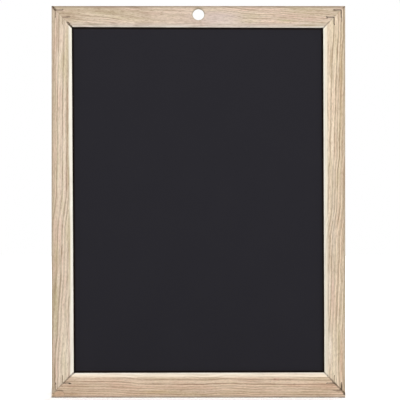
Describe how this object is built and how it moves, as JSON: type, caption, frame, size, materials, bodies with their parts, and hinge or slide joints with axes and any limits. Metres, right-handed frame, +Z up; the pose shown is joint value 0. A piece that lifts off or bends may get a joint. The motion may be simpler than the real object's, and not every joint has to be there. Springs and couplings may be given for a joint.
{
  "type": "chalkboard",
  "caption": "Small upright chalkboard: a thin black writing panel in a mitred raw pine frame with a hanging hole through the top rail.",
  "frame": {"origin": "centre of the hanging hole where it meets the rear face, which is the plane that lies against the wall", "axes": "+Z up the board, +Y out of the rear face into the wall, so the writing face looks along -Y and +X is to the right of someone facing it"},
  "size_m": [0.3, 0.012, 0.4],
  "materials": {
    "pine_rail": "planed raw pine, unvarnished",
    "pine_stile": "planed raw pine, unvarnished, the paler pieces",
    "fibreboard": "raw sawn hardboard edge",
    "writing_black": "matt black chalk-writing facing with a fine tooth",
    "nail_steel": "plain rolled steel strip, slightly dulled"
  },
  "bodies": {
    "root": {"top_rail": "pine_rail", "bottom_rail": "pine_rail", "left_stile": "pine_stile", "right_stile": "pine_stile", "panel_core": "fibreboard", "front_writing_sheet": "writing_black", "rear_writing_sheet": "writing_black", "v_nail_top_left_inner": "nail_steel", "v_nail_top_left_outer": "nail_steel", "v_nail_top_right_inner": "nail_steel", "v_nail_top_right_outer": "nail_steel", "v_nail_bottom_left_inner": "nail_steel", "v_nail_bottom_left_outer": "nail_steel", "v_nail_bottom_right_inner": "nail_steel", "v_nail_bottom_right_outer": "nail_steel"}
  },
  "joints": []
}
